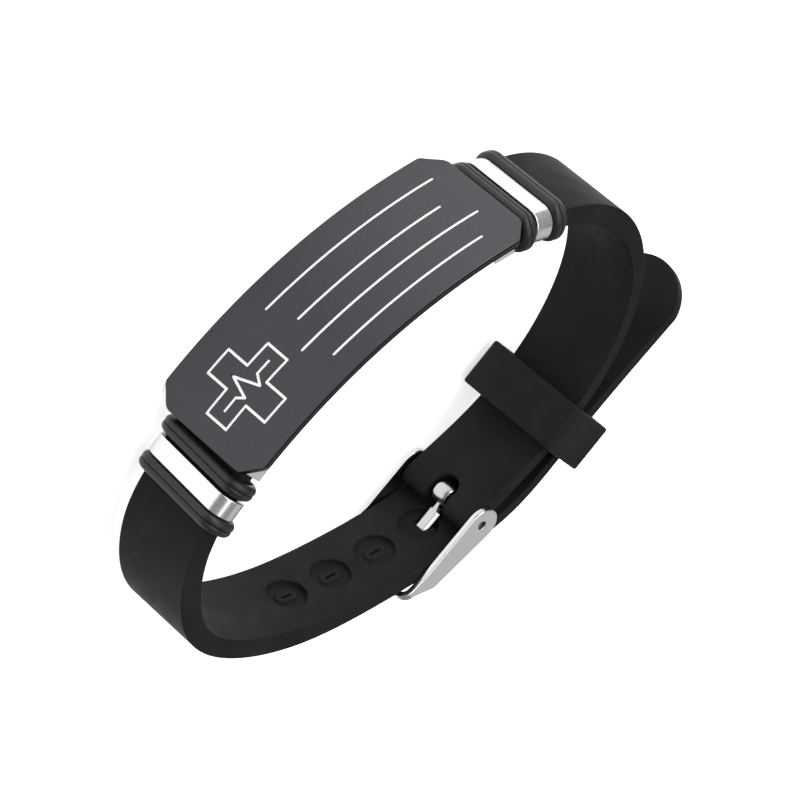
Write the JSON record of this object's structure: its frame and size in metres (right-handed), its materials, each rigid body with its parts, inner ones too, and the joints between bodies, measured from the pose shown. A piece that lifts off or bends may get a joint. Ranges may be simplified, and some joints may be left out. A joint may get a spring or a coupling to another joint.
{
  "type": "medical alert bracelet",
  "caption": "Buckled silicone wrist strap with a curved engraved metal plate, sliding rings, a keeper loop and a pin buckle.",
  "frame": {"origin": "middle of the plate's lower long edge, half way through the plate's thickness", "axes": "+Z along the wrist axis, up from the surface that the bracelet lies on; +Y from the plate towards the wrist and the buckle; +X along the plate towards its cross-marked end"},
  "size_m": [0.0784, 0.0522, 0.018],
  "materials": {
    "strap": "matte silicone",
    "keeper": "matte silicone",
    "oring": "satin",
    "plate": "satin black plating",
    "steel": "polished"
  },
  "bodies": {
    "root": {"strap": "strap", "id_plate": "plate", "metal_ring_1": "steel", "metal_ring_2": "steel", "o_ring_1": "oring", "o_ring_2": "oring", "o_ring_3": "oring", "o_ring_4": "oring", "keeper": "keeper", "buckle_frame": "steel", "buckle_pin": "steel", "buckle_tongue": "steel"}
  },
  "joints": []
}
